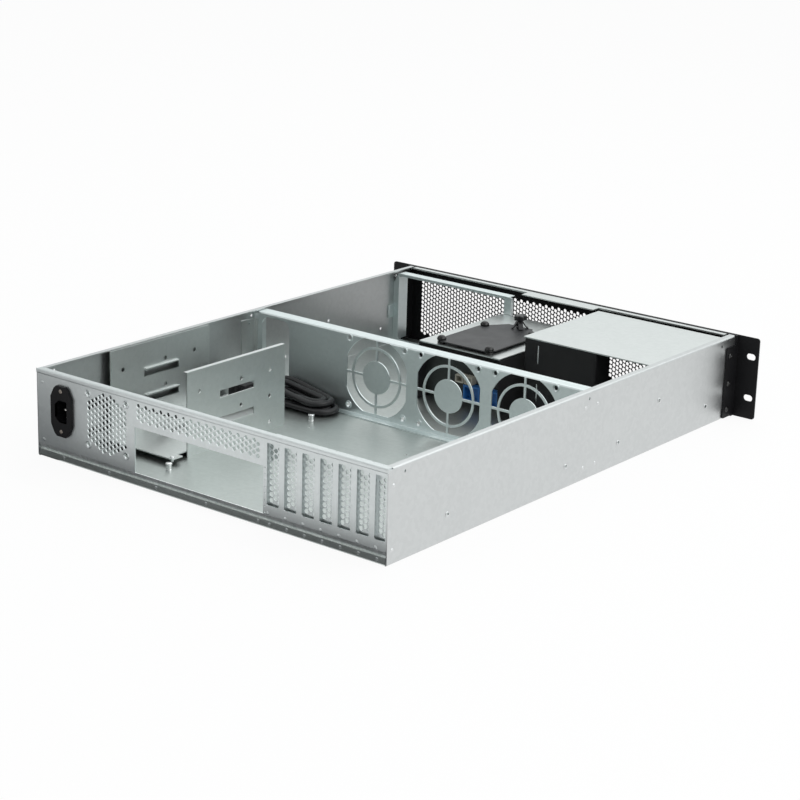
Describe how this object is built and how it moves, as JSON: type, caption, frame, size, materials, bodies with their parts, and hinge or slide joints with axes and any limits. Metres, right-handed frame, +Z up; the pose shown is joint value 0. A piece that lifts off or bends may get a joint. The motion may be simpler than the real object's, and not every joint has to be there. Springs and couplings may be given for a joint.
{
  "type": "rackmount server case",
  "caption": "Open low rack server case of galvanised sheet: black perforated front with rack ears, guarded fan wall, drive bays, covered slots and a mains inlet with its lead.",
  "frame": {"origin": "on the plane of the floor's underside, under the middle of the case from the front button caps to the rear inlet flange", "axes": "+X to the right seen from the front, +Y out of the rear wall, +Z up"},
  "size_m": [0.4826, 0.5856, 0.0875],
  "materials": {
    "galvanised_sheet": "galvanised, semi-gloss",
    "black_steel": "fine satin black powder coat",
    "screw_steel": "zinc-plated",
    "bright_stud": "polished",
    "black_screw": "black oxide",
    "black_plastic": "satin",
    "contact_metal": "nickel-plated",
    "board": "black solder-masked",
    "blue_plastic": "moulded",
    "beige_plastic": "moulded",
    "grommet_rubber": "matt",
    "button_plastic": "satin",
    "lens_plastic": "clear, unlit",
    "lead_jacket": "satin"
  },
  "bodies": {
    "case": {"backplane": "board", "base_screw": "screw_steel", "bay_base": "galvanised_sheet", "bay_bracket": "black_steel", "bay_cover": "galvanised_sheet", "bay_frame": "galvanised_sheet", "cage_deck": "galvanised_sheet", "control_board": "board", "control_posts": "screw_steel", "control_switches": "black_plastic", "data_sockets": "blue_plastic", "drive_cage": "black_steel", "drive_plate_inner": "galvanised_sheet", "drive_plate_outer": "galvanised_sheet", "ear_left": "black_steel", "ear_right": "black_steel", "ear_screws": "black_screw", "fan_wall": "galvanised_sheet", "floor_pan": "galvanised_sheet", "floor_studs": "bright_stud", "front_panel": "black_steel", "front_rail": "galvanised_sheet", "grommets": "grommet_rubber", "inlet_pins": "contact_metal", "inlet_screws": "screw_steel", "lead_hank": "lead_jacket", "lead_plug": "lead_jacket", "lead_run": "lead_jacket", "led_lenses": "lens_plastic", "power_inlet": "black_plastic", "power_sockets": "beige_plastic", "rail_nuts": "screw_steel", "rear_band": "galvanised_sheet", "rear_foot": "galvanised_sheet", "rear_inlet_end": "galvanised_sheet", "rear_slot_end": "galvanised_sheet", "rear_vent_field": "galvanised_sheet", "side_wall_left": "galvanised_sheet", "side_wall_right": "galvanised_sheet", "slot_cover_1": "galvanised_sheet", "slot_cover_2": "galvanised_sheet", "slot_cover_3": "galvanised_sheet", "slot_cover_4": "galvanised_sheet", "slot_cover_5": "galvanised_sheet", "slot_cover_6": "galvanised_sheet", "slot_cover_7": "galvanised_sheet", "slot_ledge": "galvanised_sheet", "slot_screws": "screw_steel", "small_drive_plate": "black_steel", "thumb_knob": "black_plastic", "usb_sockets": "contact_metal", "usb_tongues": "black_plastic", "wall_guide_left": "galvanised_sheet", "wall_guide_right": "galvanised_sheet", "wall_rivets": "screw_steel"},
    "power_button": {"power_button": "button_plastic"},
    "reset_button": {"reset_button": "button_plastic"}
  },
  "joints": [
    {"name": "power_press", "type": "slide", "parent": "case", "child": "power_button", "axis": [0, 1, 0], "range_m": [0, 0.0012], "stiffness_N_per_m": 400},
    {"name": "reset_press", "type": "slide", "parent": "case", "child": "reset_button", "axis": [0, 1, 0], "range_m": [0, 0.0012], "stiffness_N_per_m": 400}
  ]
}
